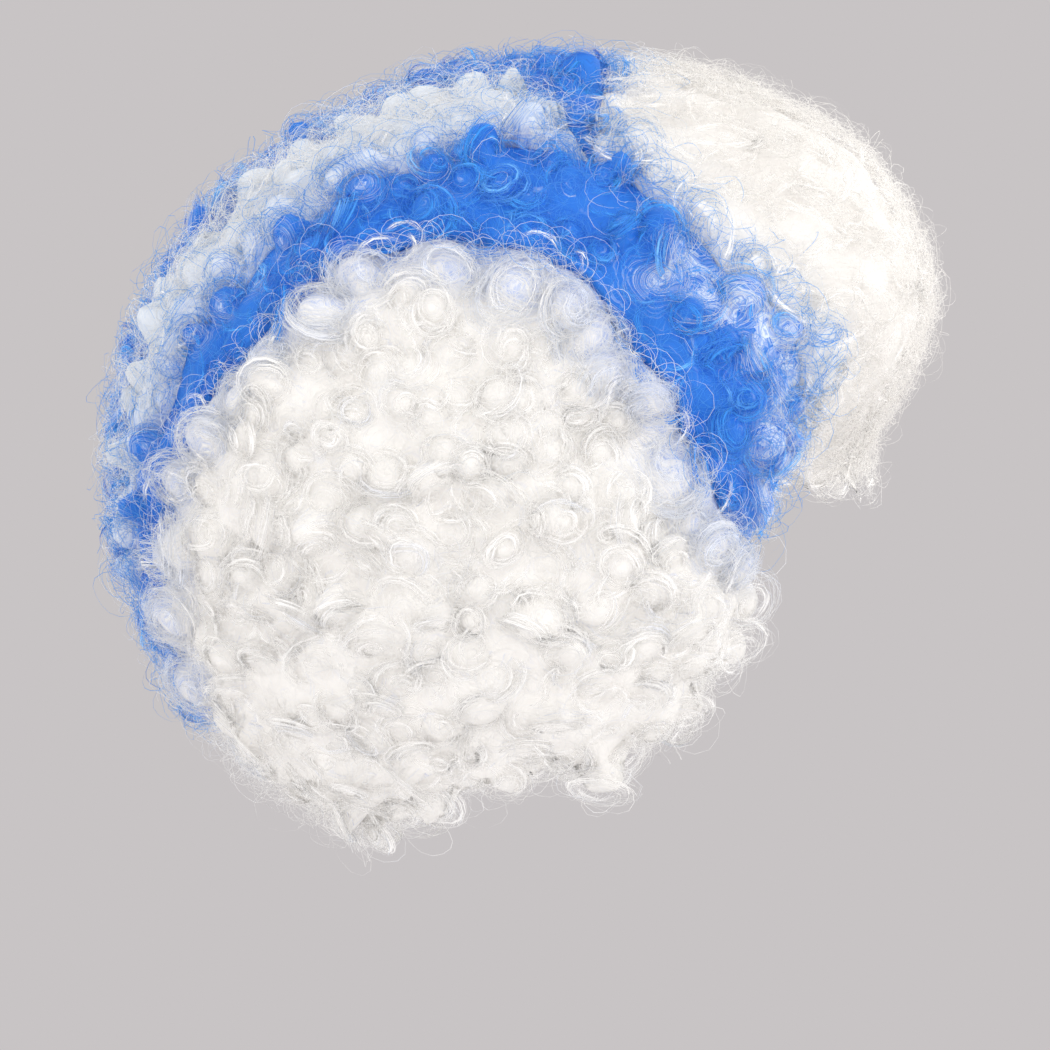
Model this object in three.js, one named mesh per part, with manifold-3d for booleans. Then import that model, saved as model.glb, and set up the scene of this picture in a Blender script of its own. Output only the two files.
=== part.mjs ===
// Curly party wig in two colours: a hollow net cap that carries eight panels of curled locks.
// Millimetres, +Z up. The face looks towards -Y and the wearer's right is towards -X.
// The origin is the point where the top of the head meets the inside of the cap.

import * as THREE from "three";
import { mergeVertices } from "three/addons/utils/BufferGeometryUtils.js";
import Module from "manifold-3d";

const wasm = await Module();
wasm.setup();

// Head and cap
const HUB_DEPTH = 105; // crown of the head down to the hub, the point that every reach is measured from
const HEAD_HALF_WIDTH = 76; // inside of the cap at the ears
const HEAD_SQUARENESS = 2; // exponent of the head's cross curve, 2 is an ellipse
const CAP_WALL = 2;
const CAP_COLUMNS = 28;
const CAP_RINGS = 7;
const ROOM_RINGS = 13; // rings of the whole room for the head, from the crown to the neck

// Hair as a whole
const HAIR_HALF_WIDTH = 143; // tips of the curls over the ears
const HAIR_SQUARENESS = 2.2; // fuller than an ellipse
const CAP_CLEARANCE = 1.2; // from the cap to the backing of the hair
const SEAM_GAP_DEG = 0.25; // half of the parting between two panels
const CLOCK_STEP = 5; // between the sections of a panel

// Locks, each a rounded lobe of curls
const LOCKS_ROUND_BALL = 250; // locks that would cover a whole ball
const LOCK_SPREAD_DEG = 8.2; // from the middle of a lock to its rim, seen from the hub
const LOCK_RISE = 16; // from the backing to the tips

// Ends of the panels by clock angle, as in the profile below, and the middle of the side panel
const FRINGE_CLOCK = -5;
const TEMPLE_CLOCK = -25;
const FRONT_CLOCK = 80;
const NAPE_CLOCK = 220;
const NAPE_FREE_CLOCK = 240; // from here to the jaw the side panel's edge is free
const JAW_FREE_CLOCK = 315;
const SIDE_MIDDLE = { clock: 205, lean: -62 };

// Free edges at the face, the jaw and the nape
const EDGE_ROUND_DEG = 14; // width of the rounded edge
const EDGE_THICKNESS = 7; // at the very edge
const SCALLOP_DEG = 4; // depth of the lobes along the edge
const SCALLOP_PITCH_DEG = 16; // from lobe to lobe

const WHITE = 0xf3f0ea;
const BLUE = 0x2873e1;
const NET = 0xe6e1d8;

// Reaches from the hub in the middle plane and edges of the panels.
// clock: 0 is the face, 90 the crown, 180 the back of the head, 270 straight down.
// head, hair: reach of the head and of the curls. A large head reach is the open neck.
// side, band, crown: lean, in degrees from the middle plane, of the edge of the side panel,
// of the blue band's edge towards the crown, and of the crown stripe's edge.
const PROFILE = [
  { clock: 0, head: 107, hair: 121, side: 67, band: 45, crown: 45 },
  { clock: 20, head: 110, hair: 155, side: 69, band: 47, crown: 47 },
  { clock: 40, head: 110, hair: 163, side: 70, band: 51, crown: 51 },
  { clock: 60, head: 108, hair: 155, side: 68, band: 49, crown: 49 },
  { clock: 80, head: 106, hair: 147.5, side: 63, band: 43, crown: 42 },
  { clock: 100, head: 102, hair: 145, side: 59, band: 39, crown: 14 },
  { clock: 120, head: 94, hair: 146, side: 53, band: 38, crown: 12 },
  { clock: 140, head: 87, hair: 152, side: 47, band: 36, crown: 12 },
  { clock: 160, head: 82, hair: 158, side: 42, band: 31, crown: 11 },
  { clock: 180, head: 80, hair: 161, side: 31, band: 22, crown: 8 },
  { clock: 200, head: 80, hair: 164, side: 19, band: 9, crown: 4 },
  { clock: 220, head: 84, hair: 164, side: 5, band: 2.5, crown: 2 },
  { clock: 240, head: 122, hair: 165, side: 0, band: 1, crown: 1 },
  { clock: 260, head: 300, hair: 156, side: 32, band: 20, crown: 10 },
  { clock: 280, head: 400, hair: 152, side: 35, band: 30, crown: 20 },
  { clock: 300, head: 300, hair: 146, side: 38, band: 35, crown: 30 },
  { clock: 320, head: 300, hair: 136, side: 43, band: 40, crown: 38 },
  { clock: 340, head: 150, hair: 128, side: 58, band: 45, crown: 45 },
];

// Rim of the cap, as its rise in degrees above the hub, from the face, 0, round to the nape, 180
const RIM = [
  { azimuth: 0, rise: 25 },
  { azimuth: 45, rise: 8 },
  { azimuth: 90, rise: -17 },
  { azimuth: 135, rise: -30 },
  { azimuth: 180, rise: -38 },
];

const { clamp, degToRad, radToDeg, smoothstep } = THREE.MathUtils;

// One column of a table whose rows are evenly spaced round a full turn, as a smooth function of the angle
function column(rows, key) {
  const points = rows.map((row) => new THREE.Vector3(row[key], 0, 0));
  const curve = new THREE.CatmullRomCurve3(points, true, "catmullrom");
  return (angle) => curve.getPoint(THREE.MathUtils.euclideanModulo(angle, 360) / 360).x;
}

const headReach = column(PROFILE, "head");
const hairReach = column(PROFILE, "hair");
const sideLean = column(PROFILE, "side");
const bandLean = column(PROFILE, "band");
const crownLean = column(PROFILE, "crown");
const rimRise = column([...RIM, ...RIM.slice(1, -1).reverse()], "rise");

// Unit vector at a clock angle and a lean. Lean is -90 at the right ear, 0 in the middle plane.
function direction(clock, lean) {
  const c = degToRad(clock);
  const l = degToRad(lean);
  return new THREE.Vector3(Math.sin(l), -Math.cos(l) * Math.cos(c), Math.cos(l) * Math.sin(c));
}

function anglesOf(unit) {
  return { clock: radToDeg(Math.atan2(unit.z, -unit.y)), lean: radToDeg(Math.asin(unit.x)) };
}

function pointAt(clock, lean, reach) {
  const point = direction(clock, lean).multiplyScalar(reach);
  point.z -= HUB_DEPTH;
  return point;
}

// Reach of a rounded form that is halfWidth wide at the ears and middle deep in the middle plane
function roundedReach(halfWidth, middle, lean, squareness) {
  const l = degToRad(lean);
  const across = Math.abs(Math.sin(l)) / halfWidth;
  const along = Math.cos(l) / middle;
  return (across ** squareness + along ** squareness) ** (-1 / squareness);
}

function headSurface(clock, lean) {
  return roundedReach(HEAD_HALF_WIDTH, headReach(clock), lean, HEAD_SQUARENESS);
}

function hairInside(clock, lean) {
  return headSurface(clock, lean) + CAP_WALL + CAP_CLEARANCE;
}

// Middles of the locks, spread evenly over the ball of hair as directions from the hub
const GOLDEN_TURN = Math.PI * (3 - Math.sqrt(5));
const LOCKS = Array.from({ length: LOCKS_ROUND_BALL }, (_, i) => {
  const x = 1 - (2 * i + 1) / LOCKS_ROUND_BALL;
  const ring = Math.sqrt(1 - x * x);
  return new THREE.Vector3(x, ring * Math.cos(i * GOLDEN_TURN), ring * Math.sin(i * GOLDEN_TURN));
});

// Height of the locks over the backing, from 0 in the hollows between them to 1 at their tips
function lockRelief(clock, lean) {
  const unit = direction(clock, lean);
  const nearest = Math.max(...LOCKS.map((middle) => middle.dot(unit)));
  const u = radToDeg(Math.acos(Math.min(nearest, 1))) / LOCK_SPREAD_DEG;
  return Math.max(1 - u * u, 0);
}

function hairOutside(clock, lean) {
  const tips = roundedReach(HAIR_HALF_WIDTH, hairReach(clock), lean, HAIR_SQUARENESS);
  return tips - LOCK_RISE * (1 - lockRelief(clock, lean));
}

function indexed(points, index) {
  const geometry = new THREE.BufferGeometry();
  const positions = points.flatMap((point) => point.toArray());
  geometry.setAttribute("position", new THREE.Float32BufferAttribute(positions, 3));
  geometry.setIndex(index);
  return geometry;
}

// Ring-shaped body through closed loops of equal length, the last joined to the first
function loft(loops) {
  const size = loops[0].length;
  const index = [];
  loops.forEach((_, i) => {
    const here = i * size;
    const next = ((i + 1) % loops.length) * size;
    for (let j = 0; j < size; j += 1) {
      const k = (j + 1) % size;
      index.push(here + j, here + k, next + k);
      index.push(here + j, next + k, next + j);
    }
  });
  return indexed(loops.flat(), index);
}

// Body between a grid of points and one apex behind it, each cell split along its shorter diagonal
function wedge(rows, apex) {
  const points = rows.flat();
  const wide = rows[0].length;
  const index = [];
  for (let i = 0; i < rows.length - 1; i += 1) {
    for (let j = 0; j < wide - 1; j += 1) {
      const [a, b, c, d] = [i * wide + j, i * wide + j + 1, (i + 1) * wide + j + 1, (i + 1) * wide + j];
      if (points[a].distanceTo(points[c]) < points[b].distanceTo(points[d])) {
        index.push(a, b, c, a, c, d);
      } else {
        index.push(a, b, d, b, c, d);
      }
    }
  }
  const apexIndex = points.length;
  const lastRow = (rows.length - 1) * wide;
  for (let j = 0; j < wide - 1; j += 1) {
    index.push(apexIndex, j + 1, j);
    index.push(apexIndex, lastRow + j, lastRow + j + 1);
  }
  for (let i = 0; i < rows.length - 1; i += 1) {
    const start = i * wide;
    index.push(apexIndex, start, start + wide);
    index.push(apexIndex, start + 2 * wide - 1, start + wide - 1);
  }
  return indexed([...points, apex], index);
}

// Six times the signed volume, negative where the faces point in
function signedVolume(position, faces) {
  const [a, b, c] = [new THREE.Vector3(), new THREE.Vector3(), new THREE.Vector3()];
  let sum = 0;
  for (const [i, j, k] of faces) {
    a.fromBufferAttribute(position, i);
    b.fromBufferAttribute(position, j);
    c.fromBufferAttribute(position, k);
    sum += a.dot(b.cross(c));
  }
  return sum;
}

const MERGE_TOLERANCE = 1e-4;

function toSolid(source) {
  const geometry = mergeVertices(source, MERGE_TOLERANCE);
  const position = geometry.getAttribute("position");
  const corners = Array.from(geometry.index.array);
  const faces = [];
  for (let i = 0; i < corners.length; i += 3) {
    const face = corners.slice(i, i + 3);
    if (new Set(face).size === 3) {
      faces.push(face);
    }
  }
  if (signedVolume(position, faces) < 0) {
    faces.forEach((face) => face.reverse());
  }
  const vertProperties = new Float32Array(position.array);
  const triVerts = new Uint32Array(faces.flat());
  return new wasm.Manifold(new wasm.Mesh({ numProp: 3, vertProperties, triVerts }));
}

function toGeometry(solid) {
  const { vertProperties, triVerts } = solid.getMesh();
  const geometry = new THREE.BufferGeometry();
  geometry.setAttribute("position", new THREE.Float32BufferAttribute(vertProperties, 3));
  geometry.setIndex(Array.from(triVerts));
  geometry.computeVertexNormals();
  return geometry;
}

// Points down one meridian of the head, from the crown to a rise in degrees, a clearance off its surface
function meridian(azimuth, lastRise, rings, clearance) {
  const a = degToRad(azimuth);
  const points = [];
  for (let ring = 0; ring <= rings; ring += 1) {
    const e = degToRad(THREE.MathUtils.lerp(90, lastRise, ring / rings));
    const unit = new THREE.Vector3(Math.sin(a) * Math.cos(e), -Math.cos(a) * Math.cos(e), Math.sin(e));
    const { clock, lean } = anglesOf(unit);
    points.push(pointAt(clock, lean, headSurface(clock, lean) + clearance));
  }
  return points;
}

const AZIMUTHS = Array.from({ length: CAP_COLUMNS }, (_, i) => (360 * i) / CAP_COLUMNS);

// Net cap: one wall over the top of the head, open below its rim
function capGeometry() {
  const loops = AZIMUTHS.map((azimuth) => {
    const outer = meridian(azimuth, rimRise(azimuth), CAP_RINGS, CAP_WALL);
    const inner = meridian(azimuth, rimRise(azimuth), CAP_RINGS, 0);
    return [...outer, ...inner.reverse()];
  });
  return toGeometry(toSolid(loft(loops)));
}

// Room for the head, the cap and the neck, which no hair enters
function headRoom() {
  const loops = AZIMUTHS.map((azimuth) => meridian(azimuth, -90, ROOM_RINGS, CAP_WALL + CAP_CLEARANCE));
  return toSolid(loft(loops));
}

// Share of the full thickness at a distance, in degrees, from a free edge
function fullness(inset) {
  const u = clamp(inset / EDGE_ROUND_DEG, 0, 1);
  return Math.sqrt(1 - (1 - u) ** 2);
}

// Lobes along a free edge, as the degrees that the edge hangs lower
function scallop(angle) {
  return SCALLOP_DEG * Math.sin((Math.PI * angle) / SCALLOP_PITCH_DEG) ** 2;
}

// Share of freedom of the side panel's edge: 0 along the seam with the blue band, 1 at the jaw and nape
function sideFreedom(clock) {
  const angle = THREE.MathUtils.euclideanModulo(clock, 360);
  const leavesNape = smoothstep(angle, NAPE_CLOCK, NAPE_FREE_CLOCK);
  const meetsTemple = smoothstep(angle, JAW_FREE_CLOCK, TEMPLE_CLOCK + 360);
  return leavesNape * (1 - meetsTemple);
}

// Lean of the side panel's edge. Below the ends of the stripes the two side panels meet in the middle.
function sideEdge(clock) {
  const angle = THREE.MathUtils.euclideanModulo(clock, 360);
  const lean = sideLean(angle) - scallop(angle) * sideFreedom(angle);
  const closes = angle < NAPE_FREE_CLOCK ? smoothstep(angle, NAPE_CLOCK + 2, NAPE_CLOCK + 8) : 0;
  return Math.max(lean * (1 - closes), 0);
}

// Grid of angles of a panel that runs along the clock, with lean edges that change along it
function stripGrid({ from, to, across, edges, hang }) {
  const rows = [];
  const sections = Math.round((to - from) / CLOCK_STEP);
  for (let i = 0; i <= sections; i += 1) {
    const clock = THREE.MathUtils.lerp(from + SEAM_GAP_DEG, to - SEAM_GAP_DEG, i / sections);
    const [low, high] = edges(clock);
    const row = [];
    for (let j = 0; j <= across; j += 1) {
      const lean = THREE.MathUtils.lerp(low + SEAM_GAP_DEG, high - SEAM_GAP_DEG, j / across);
      const lower = i === 0 && hang ? hang(lean) : 0;
      row.push({ clock: clock - lower, lean });
    }
    rows.push(row);
  }
  return rows;
}

// Grid of angles of the round side panel: a square grid bent to a disc round the panel's own middle
function discGrid({ across, middle, edge }) {
  const centre = direction(middle.clock, middle.lean);
  const rows = [];
  for (let i = 0; i <= across; i += 1) {
    const row = [];
    for (let j = 0; j <= across; j += 1) {
      const a = (2 * i) / across - 1;
      const b = (2 * j) / across - 1;
      const share = Math.max(Math.abs(a), Math.abs(b));
      const clock = radToDeg(Math.atan2(b, a));
      const rim = direction(clock, -edge(clock) - SEAM_GAP_DEG);
      row.push(anglesOf(centre.clone().lerp(rim, share).normalize()));
    }
    rows.push(row);
  }
  return rows;
}

// Hair panels. grid: the angles that the panel covers. inset: degrees from a point to the panel's free edge.
const PANELS = [
  {
    name: "front_white",
    colour: WHITE,
    grid: stripGrid({
      from: FRINGE_CLOCK,
      to: FRONT_CLOCK,
      across: 30,
      edges: (clock) => [-bandLean(clock), bandLean(clock)],
      hang: scallop,
    }),
    inset: (clock) => clock - FRINGE_CLOCK,
  },
  {
    name: "crown_blue",
    colour: BLUE,
    grid: stripGrid({
      from: FRONT_CLOCK,
      to: NAPE_CLOCK,
      across: 12,
      edges: (clock) => [-crownLean(clock), crownLean(clock)],
    }),
  },
  {
    name: "inner_white",
    colour: WHITE,
    paired: true,
    grid: stripGrid({
      from: FRONT_CLOCK,
      to: NAPE_CLOCK,
      across: 6,
      edges: (clock) => [-bandLean(clock), -crownLean(clock)],
    }),
  },
  {
    name: "blue_band",
    colour: BLUE,
    paired: true,
    grid: stripGrid({
      from: TEMPLE_CLOCK,
      to: NAPE_CLOCK,
      across: 6,
      edges: (clock) => [-sideLean(clock), -bandLean(clock)],
    }),
    inset: (clock) => clock - TEMPLE_CLOCK,
  },
  {
    name: "side_white",
    colour: WHITE,
    paired: true,
    grid: discGrid({ across: 28, middle: SIDE_MIDDLE, edge: sideEdge }),
    inset: (clock, lean) => {
      const freedom = sideFreedom(clock);
      return EDGE_ROUND_DEG * (1 - freedom) + (-sideEdge(clock) - lean) * freedom;
    },
  },
];

// Reach of a panel's locks, drawn in towards its free edges
function panelReach(panel, clock, lean) {
  const full = hairOutside(clock, lean);
  const edge = Math.min(hairInside(clock, lean) + EDGE_THICKNESS, full);
  const share = panel.inset ? fullness(panel.inset(clock, lean)) : 1;
  return THREE.MathUtils.lerp(edge, full, share);
}

const HUB = pointAt(0, 0, 0);
const HEAD_ROOM = headRoom();

// A panel is a wedge from the hub out to the locks, with the room for the head taken out of it
function panelGeometry(panel) {
  const rows = panel.grid.map((row) =>
    row.map(({ clock, lean }) => pointAt(clock, lean, panelReach(panel, clock, lean))),
  );
  return toGeometry(toSolid(wedge(rows, HUB)).subtract(HEAD_ROOM));
}

function addMesh(group, name, geometry, colour, roughness) {
  const material = new THREE.MeshStandardMaterial({ color: colour, roughness, metalness: 0 });
  const mesh = new THREE.Mesh(geometry, material);
  mesh.name = name;
  group.add(mesh);
  return mesh;
}

const HAIR_ROUGHNESS = 0.6;
const NET_ROUGHNESS = 0.9;

const wig = new THREE.Group();
addMesh(wig, "cap", capGeometry(), NET, NET_ROUGHNESS);
for (const panel of PANELS) {
  const geometry = panelGeometry(panel);
  if (panel.paired) {
    addMesh(wig, `right_${panel.name}`, geometry, panel.colour, HAIR_ROUGHNESS);
    addMesh(wig, `left_${panel.name}`, geometry, panel.colour, HAIR_ROUGHNESS).scale.x = -1;
  } else {
    addMesh(wig, panel.name, geometry, panel.colour, HAIR_ROUGHNESS);
  }
}

export default wig;
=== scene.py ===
# %% [markdown]
# # A curly party wig in white and blue
# The part is a net cap that carries eight panels of curled hair. This lesson dresses its solids
# with strands: thousands of thin ribbons that coil, loop and fly off, built as plain meshes from
# arrays of numbers. The first step loads the solids.

# %% Load the solids
import math

import bmesh
import bpy
import numpy as np
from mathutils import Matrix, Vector
from mathutils.bvhtree import BVHTree
from mathutils.kdtree import KDTree


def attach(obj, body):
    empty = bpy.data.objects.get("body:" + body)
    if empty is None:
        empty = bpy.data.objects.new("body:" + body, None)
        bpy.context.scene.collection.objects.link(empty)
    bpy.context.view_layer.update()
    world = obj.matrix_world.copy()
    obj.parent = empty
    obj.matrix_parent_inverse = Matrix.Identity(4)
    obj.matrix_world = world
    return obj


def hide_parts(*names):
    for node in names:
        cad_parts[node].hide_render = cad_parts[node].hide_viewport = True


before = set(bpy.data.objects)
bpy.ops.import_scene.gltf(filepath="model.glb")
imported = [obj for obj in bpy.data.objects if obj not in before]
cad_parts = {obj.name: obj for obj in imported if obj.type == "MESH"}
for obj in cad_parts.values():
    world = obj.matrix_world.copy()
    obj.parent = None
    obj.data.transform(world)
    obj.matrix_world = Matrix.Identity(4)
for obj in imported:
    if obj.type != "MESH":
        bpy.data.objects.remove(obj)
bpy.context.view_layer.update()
rng = np.random.default_rng(20)
MM = 0.001
print("solids:", sorted(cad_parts))

# %% [markdown]
# ## Camera
# The wig is seen from its right side, level, through a long lens. The frame is set by two real
# sizes: the height of the picture at the wig, and the point that lies in its middle.

# %% Place the camera
FRAME_HEIGHT = 380.4 * MM
FRAME_MIDDLE = Vector((0, 6.2, -133.3)) * MM
CAMERA_DISTANCE = 2.6
SENSOR = 36.0


def aim(thing, target):
    """Turns a camera or lamp so that it looks at a point."""
    thing.rotation_euler = (Vector(target) - thing.location).to_track_quat("-Z", "Y").to_euler()


def place(name, data, location, target):
    thing = bpy.data.objects.new(name, data)
    bpy.context.scene.collection.objects.link(thing)
    thing.location = location
    aim(thing, target)
    return thing


lens = bpy.data.cameras.new("side_view")
lens.sensor_width = SENSOR
lens.lens = SENSOR * CAMERA_DISTANCE / FRAME_HEIGHT
camera_spot = FRAME_MIDDLE + Vector((-CAMERA_DISTANCE, 0, 0))
bpy.context.scene.camera = place("side_view", lens, camera_spot, FRAME_MIDDLE)
print(f"lens {lens.lens:.0f} mm at {CAMERA_DISTANCE} m")

# %% [markdown]
# ## Light and floor
# Pale fibre looks soft only in soft light, so most of the light comes from an even bright world and
# the rest from large lamps. The backdrop is a mid grey, darker than the light that the world
# sheds, which a mix by the kind of ray allows. A plain display transform keeps white hair white
# and blue hair saturated.

# %% Light the studio
BACKDROP = (0.578, 0.552, 0.558, 1)
WORLD_LIGHT = (1.12, 1.11, 1.10, 1)
LAMPS = {
    "key": {"spot": (-1.5, -1.6, 0.7), "width": 1.6, "watts": 11},
    "fill": {"spot": (-2.0, 0.9, 0.2), "width": 1.4, "watts": 3},
    "far_key": {"spot": (1.5, -1.6, 0.7), "width": 1.6, "watts": 11},
    "far_fill": {"spot": (2.0, 0.9, 0.2), "width": 1.4, "watts": 3},
}
scene = bpy.context.scene
scene.view_settings.view_transform = "Standard"


def studio_world():
    world = bpy.data.worlds.new("studio")
    world.use_nodes = True
    nodes, links = world.node_tree.nodes, world.node_tree.links
    shed = nodes["Background"]
    shed.inputs["Color"].default_value = WORLD_LIGHT
    seen = nodes.new("ShaderNodeBackground")
    seen.inputs["Color"].default_value = BACKDROP
    ray = nodes.new("ShaderNodeLightPath")
    mix = nodes.new("ShaderNodeMixShader")
    links.new(ray.outputs["Is Camera Ray"], mix.inputs[0])
    links.new(shed.outputs[0], mix.inputs[1])
    links.new(seen.outputs[0], mix.inputs[2])
    links.new(mix.outputs[0], nodes["World Output"].inputs["Surface"])
    return world


scene.world = studio_world()
for name, lamp in LAMPS.items():
    light = bpy.data.lights.new(name, "AREA")
    light.energy = lamp["watts"]
    light.size = lamp["width"]
    place(name, light, lamp["spot"], FRAME_MIDDLE)
print("lamps:", list(LAMPS))

# %% [markdown]
# The floor is a wide pale disc well below the wig, which hangs free above it. The disc is flat and
# plain, so one face with many corners is enough.

# %% Lay the floor
FLOOR_HEIGHT = -0.60
FLOOR_RADIUS = 3.0
FLOOR_CORNERS = 96
FLOOR_TONE = (0.80, 0.79, 0.80, 1)
FLOOR_ROUGHNESS = 0.8
turn = np.linspace(0, 2 * math.pi, FLOOR_CORNERS, endpoint=False)
rim = [(FLOOR_RADIUS * math.cos(a), FLOOR_RADIUS * math.sin(a), FLOOR_HEIGHT) for a in turn]
floor_mesh = bpy.data.meshes.new("floor")
floor_mesh.from_pydata(rim, [], [list(range(FLOOR_CORNERS))])
floor = bpy.data.objects.new("floor", floor_mesh)
scene.collection.objects.link(floor)
paper = bpy.data.materials.new("floor_paper")
paper.use_nodes = True
paper_inputs = paper.node_tree.nodes["Principled BSDF"].inputs
paper_inputs["Base Color"].default_value = FLOOR_TONE
paper_inputs["Roughness"].default_value = FLOOR_ROUGHNESS
floor_mesh.materials.append(paper)
print("floor at", FLOOR_HEIGHT)

# %% [markdown]
# ## Fibre finish
# Every strand is a ribbon whose map runs across a lane and along its length. A painted picture would
# blur close up, so one node group works the tint out from the map: the lanes go from deep to pale,
# fine streaks run along them, and a strand gets a little paler towards one end. The streaks also say
# where a wide lock has hairs and where it has gaps. The same group serves the white and the blue hair.

# %% Build the fibre tint group
LANES = 16
STREAKS_PER_LANE = 9.0
STREAK_STRETCH = 2.5
STREAK_DETAIL = 2.0
LANE_FILL = 0.92
LANE_FADE = 0.30
END_FADE = 0.28
LANE_WEIGHT, STREAK_WEIGHT, LENGTH_WEIGHT = 0.50, 0.70, 0.10
DEEP_TO_MIDDLE = (0.30, 0.65)
MIDDLE_TO_LIGHT = (0.76, 1.04)
GAP_TO_HAIR = (0.46, 0.60)
LEAST_ROUGHNESS, ROUGHNESS_SPREAD = 0.38, 0.25


def fibre_tint_group():
    group = bpy.data.node_groups.new("fibre_tint", "ShaderNodeTree")
    face = group.interface
    for name in ("Deep", "Middle", "Light"):
        face.new_socket(name=name, in_out="INPUT", socket_type="NodeSocketColor")
    face.new_socket(name="Colour", in_out="OUTPUT", socket_type="NodeSocketColor")
    face.new_socket(name="Roughness", in_out="OUTPUT", socket_type="NodeSocketFloat")
    face.new_socket(name="Height", in_out="OUTPUT", socket_type="NodeSocketFloat")
    face.new_socket(name="Cover", in_out="OUTPUT", socket_type="NodeSocketFloat")
    nodes, links = group.nodes, group.links
    given = nodes.new("NodeGroupInput")
    result = nodes.new("NodeGroupOutput")

    def math_node(operation, a, b, c=None):
        node = nodes.new("ShaderNodeMath")
        node.operation = operation
        for socket, value in zip(node.inputs, (a, b, c)):
            if isinstance(value, (int, float)):
                socket.default_value = value
            elif value is not None:
                links.new(value, socket)
        return node.outputs[0]

    def blend(factor, a, b):
        node = nodes.new("ShaderNodeMix")
        node.data_type = "RGBA"
        links.new(factor, node.inputs["Factor"])
        links.new(a, node.inputs["A"])
        links.new(b, node.inputs["B"])
        return node.outputs["Result"]

    def ramp(value, low, high):
        node = nodes.new("ShaderNodeMapRange")
        node.interpolation_type = "SMOOTHSTEP"
        links.new(value, node.inputs["Value"])
        node.inputs["From Min"].default_value = low
        node.inputs["From Max"].default_value = high
        return node.outputs["Result"]

    strand_map = nodes.new("ShaderNodeUVMap")
    strand_map.uv_map = "OFBake"
    split = nodes.new("ShaderNodeSeparateXYZ")
    links.new(strand_map.outputs["UV"], split.inputs["Vector"])
    across, along = split.outputs["X"], split.outputs["Y"]
    in_lanes = math_node("MULTIPLY", across, LANES)
    lane = math_node("FLOOR", in_lanes, 0)
    own = math_node("DIVIDE", lane, LANES - 1)
    spread = nodes.new("ShaderNodeCombineXYZ")
    links.new(math_node("MULTIPLY", across, LANES * STREAKS_PER_LANE), spread.inputs["X"])
    links.new(math_node("MULTIPLY", along, STREAK_STRETCH), spread.inputs["Y"])
    streak = nodes.new("ShaderNodeTexNoise")
    streak.inputs["Scale"].default_value = 1.0
    streak.inputs["Detail"].default_value = STREAK_DETAIL
    links.new(spread.outputs["Vector"], streak.inputs["Vector"])
    fine = streak.outputs["Fac"]
    tone = math_node("MULTIPLY_ADD", own, LANE_WEIGHT, math_node("MULTIPLY", fine, STREAK_WEIGHT))
    tone = math_node("MULTIPLY_ADD", along, LENGTH_WEIGHT, tone)
    colour = blend(ramp(tone, *DEEP_TO_MIDDLE), given.outputs["Deep"], given.outputs["Middle"])
    colour = blend(ramp(tone, *MIDDLE_TO_LIGHT), colour, given.outputs["Light"])
    links.new(colour, result.inputs["Colour"])
    in_lane = math_node("FRACT", in_lanes, 0)
    left = ramp(in_lane, 0, LANE_FADE)
    right = ramp(in_lane, LANE_FILL, LANE_FILL - LANE_FADE)
    sides = math_node("MULTIPLY", left, right)
    ends = math_node("MULTIPLY", ramp(along, 0, END_FADE), ramp(along, 1, 1 - END_FADE))
    cover = math_node("MULTIPLY", ramp(fine, *GAP_TO_HAIR), math_node("MULTIPLY", sides, ends))
    links.new(cover, result.inputs["Cover"])
    roughness = math_node("MULTIPLY_ADD", fine, ROUGHNESS_SPREAD, LEAST_ROUGHNESS)
    links.new(roughness, result.inputs["Roughness"])
    links.new(fine, result.inputs["Height"])
    return group


FIBRE_TINT = fibre_tint_group()
print("fibre tint nodes:", len(FIBRE_TINT.nodes))

# %% [markdown]
# Each dye comes as single hairs, as locks and as dense hair below them. Every finish has three tones:
# the colour in the shade, the colour of most hairs and the colour of the palest. Single hairs let
# light through, so they get a translucent share, which keeps the inside of a pale curl bright. Locks
# are wide ribbons with gaps between their hairs, and dense hair lets no light through. The brushed
# front has a warmer white of its own, painted darker as painted shade because the key lamp falls
# hardest on the front, and the dense hair of the inner white strips blends white and blue.

# %% Make the hair finishes
TONES = {
    "white_hair": {
        "single": ((0.68, 0.77, 0.95), (0.97, 0.96, 0.945), (0.985, 0.98, 0.97)),
        "lock": ((0.66, 0.74, 0.92), (0.96, 0.948, 0.93), (0.98, 0.972, 0.96)),
        "dense": ((0.40, 0.50, 0.78), (0.93, 0.91, 0.88), (0.97, 0.96, 0.94)),
        "blended": ((0.170, 0.37, 0.76), (0.78, 0.82, 0.88), (0.93, 0.92, 0.91)),
    },
    # painted shade: the brushed front's white is darker because the key lamp falls hardest on it
    "brushed_white": {
        "single": ((0.84, 0.83, 0.83), (0.945, 0.928, 0.905), (0.96, 0.95, 0.93)),
        "lock": ((0.81, 0.80, 0.80), (0.935, 0.916, 0.892), (0.955, 0.94, 0.92)),
        "dense": ((0.78, 0.77, 0.77), (0.915, 0.895, 0.87), (0.945, 0.925, 0.90)),
    },
    "blue_hair": {
        "single": ((0.022, 0.190, 0.76), (0.115, 0.420, 0.90), (0.280, 0.590, 0.96)),
        "lock": ((0.006, 0.080, 0.56), (0.045, 0.320, 0.86), (0.200, 0.520, 0.94)),
        "dense": ((0.003, 0.032, 0.35), (0.024, 0.205, 0.74), (0.860, 0.920, 0.98)),
    },
}
TRANSLUCENCE = 0.55
HAIR_SPECULAR = 0.3
HAIR_BUMP = 0.6
RELIEF = {"single": 0.2 * MM, "lock": 0.2 * MM, "dense": 0.7 * MM, "blended": 0.7 * MM}


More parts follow.
